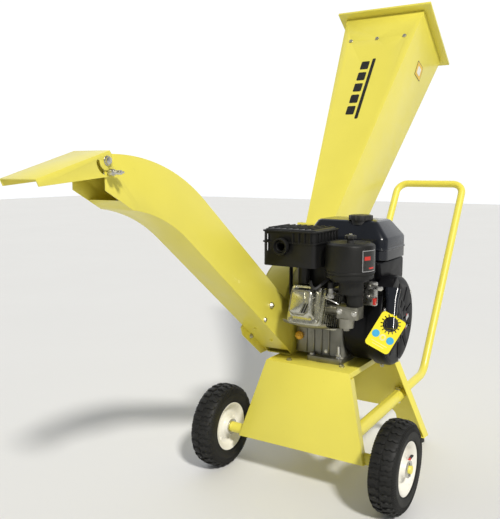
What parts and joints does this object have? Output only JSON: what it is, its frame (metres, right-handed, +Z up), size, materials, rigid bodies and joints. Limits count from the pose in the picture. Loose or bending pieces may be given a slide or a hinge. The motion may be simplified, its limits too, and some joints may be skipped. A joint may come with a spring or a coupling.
{
  "type": "wood chipper",
  "caption": "Engine-driven garden wood chipper on two wheels, with a tall feed hopper, a curved discharge chute with a tilting deflector and a tubular push handle.",
  "frame": {"origin": "on the ground, in the middle of the overall width and length", "axes": "+Z up, +Y towards the push handle and the feed hopper, +X towards the recoil starter side"},
  "size_m": [0.579, 1.7819, 1.356],
  "materials": {
    "tyre": "matt black with moulded blocks",
    "white_paint": "cream white enamel",
    "yellow_paint": "pale lemon yellow powder coat, semi gloss",
    "zinc": "zinc plated",
    "steel": "bare machined steel",
    "black_rubber": "matt black",
    "bush_plastic": "black nylon",
    "alloy": "die cast, satin",
    "dark_alloy": "die cast, dark grey",
    "gloss_black": "gloss black enamel",
    "satin_black": "satin black enamel",
    "black_plastic": "moulded black plastic",
    "card": "printed yellow card",
    "rope": "braided cord",
    "plug_yellow": "moulded yellow plastic",
    "ceramic": "white ceramic and steel"
  },
  "bodies": {
    "chassis": {"air_cleaner_base": "black_plastic", "air_cleaner_cover": "black_plastic", "anvil": "steel", "axle": "yellow_paint", "axle_pins": "zinc", "axle_washers": "zinc", "blower_housing": "gloss_black", "carburettor": "alloy", "chute_bracket": "yellow_paint", "clamp_bolts": "zinc", "control_plate": "alloy", "crankcase": "dark_alloy", "cylinder": "alloy", "discharge_chute": "yellow_paint", "engine_deck": "yellow_paint", "front_panel": "yellow_paint", "fuel_tank": "gloss_black", "handle": "yellow_paint", "handle_bolts": "zinc", "handle_sleeves": "yellow_paint", "hopper": "yellow_paint", "hopper_rim": "yellow_paint", "housing_left_plate": "yellow_paint", "housing_right_plate": "yellow_paint", "housing_wrap": "yellow_paint", "infeed_throat": "yellow_paint", "muffler": "satin_black", "muffler_guard": "satin_black", "panel_bolts": "zinc", "pivot_bolts": "zinc", "rear_panel": "yellow_paint", "recoil_cover": "gloss_black", "rubber_feet": "black_rubber", "spark_plug": "ceramic", "spark_plug_lead": "black_plastic", "valve_cover": "alloy"},
    "left_wheel": {"left_tyre": "tyre", "left_rim": "white_paint", "left_hub_bush": "bush_plastic", "left_valve": "black_rubber"},
    "right_wheel": {"right_tyre": "tyre", "right_rim": "white_paint", "right_hub_bush": "bush_plastic", "right_valve": "black_rubber"},
    "crank_train": {"crankshaft": "steel", "flywheel": "dark_alloy", "rotor": "steel", "rotor_knives": "steel"},
    "deflector_plate": {"deflector": "yellow_paint"},
    "curtain": {"feed_curtain": "black_rubber"},
    "left_nut": {"left_wing_nut": "zinc"},
    "right_nut": {"right_wing_nut": "zinc"},
    "starter": {"starter_grip": "black_plastic", "starter_rope": "rope", "hang_tag": "card"},
    "throttle": {"throttle_lever": "black_plastic"},
    "choke": {"choke_lever": "zinc"},
    "tank_cap": {"fuel_cap": "black_plastic"},
    "cleaner_knob": {"air_cleaner_knob": "black_plastic"},
    "filler_plug": {"oil_plug": "plug_yellow"}
  },
  "joints": [
    {"name": "left_wheel_spin", "type": "hinge", "parent": "chassis", "child": "left_wheel", "pos_m": [-0.2505, -0.1331, 0.1125], "axis": [1, 0, 0], "continuous": true},
    {"name": "right_wheel_spin", "type": "hinge", "parent": "chassis", "child": "right_wheel", "pos_m": [0.2505, -0.1331, 0.1125], "axis": [1, 0, 0], "continuous": true},
    {"name": "crank_spin", "type": "hinge", "parent": "chassis", "child": "crank_train", "pos_m": [0, 0.0439, 0.424], "axis": [1, 0, 0], "continuous": true},
    {"name": "deflector_tilt", "type": "hinge", "parent": "chassis", "child": "deflector_plate", "pos_m": [-0.1205, -0.7333, 0.8293], "axis": [1, 0, 0], "range_deg": [0, 80]},
    {"name": "curtain_swing", "type": "hinge", "parent": "chassis", "child": "curtain", "pos_m": [-0.1205, 0.62112, 1.23752], "axis": [1, 0, 0], "range_deg": [-30, 55]},
    {"name": "left_nut_turn", "type": "hinge", "parent": "chassis", "child": "left_nut", "pos_m": [-0.16475, -0.72691, 0.80877], "axis": [1, 0, 0], "range_deg": [-15, 180]},
    {"name": "right_nut_turn", "type": "hinge", "parent": "chassis", "child": "right_nut", "pos_m": [-0.07625, -0.72691, 0.80877], "axis": [1, 0, 0], "range_deg": [-15, 180]},
    {"name": "starter_pull", "type": "slide", "parent": "chassis", "child": "starter", "axis": [0.3105, -0.711, -0.6309], "range_m": [0, 0.5], "stiffness_N_per_m": 20, "springref_m": -0.3},
    {"name": "throttle_turn", "type": "hinge", "parent": "chassis", "child": "throttle", "pos_m": [0.15, -0.0831, 0.528], "axis": [0, 1, 0], "range_deg": [-30, 35]},
    {"name": "choke_turn", "type": "hinge", "parent": "chassis", "child": "choke", "pos_m": [0.146, -0.0831, 0.503], "axis": [0, 1, 0], "range_deg": [-30, 25]},
    {"name": "fuel_cap_turn", "type": "hinge", "parent": "chassis", "child": "tank_cap", "pos_m": [0.082, 0.0219, 0.683], "axis": [0, 0, 1], "range_deg": [0, 90]},
    {"name": "cleaner_knob_turn", "type": "hinge", "parent": "chassis", "child": "cleaner_knob", "pos_m": [0.118, -0.1231, 0.645], "axis": [0, 0, 1], "range_deg": [0, 350]},
    {"name": "oil_plug_turn", "type": "hinge", "parent": "chassis", "child": "filler_plug", "pos_m": [-0.058, -0.04135, 0.372], "axis": [0, -1, 0], "range_deg": [0, 350]}
  ]
}
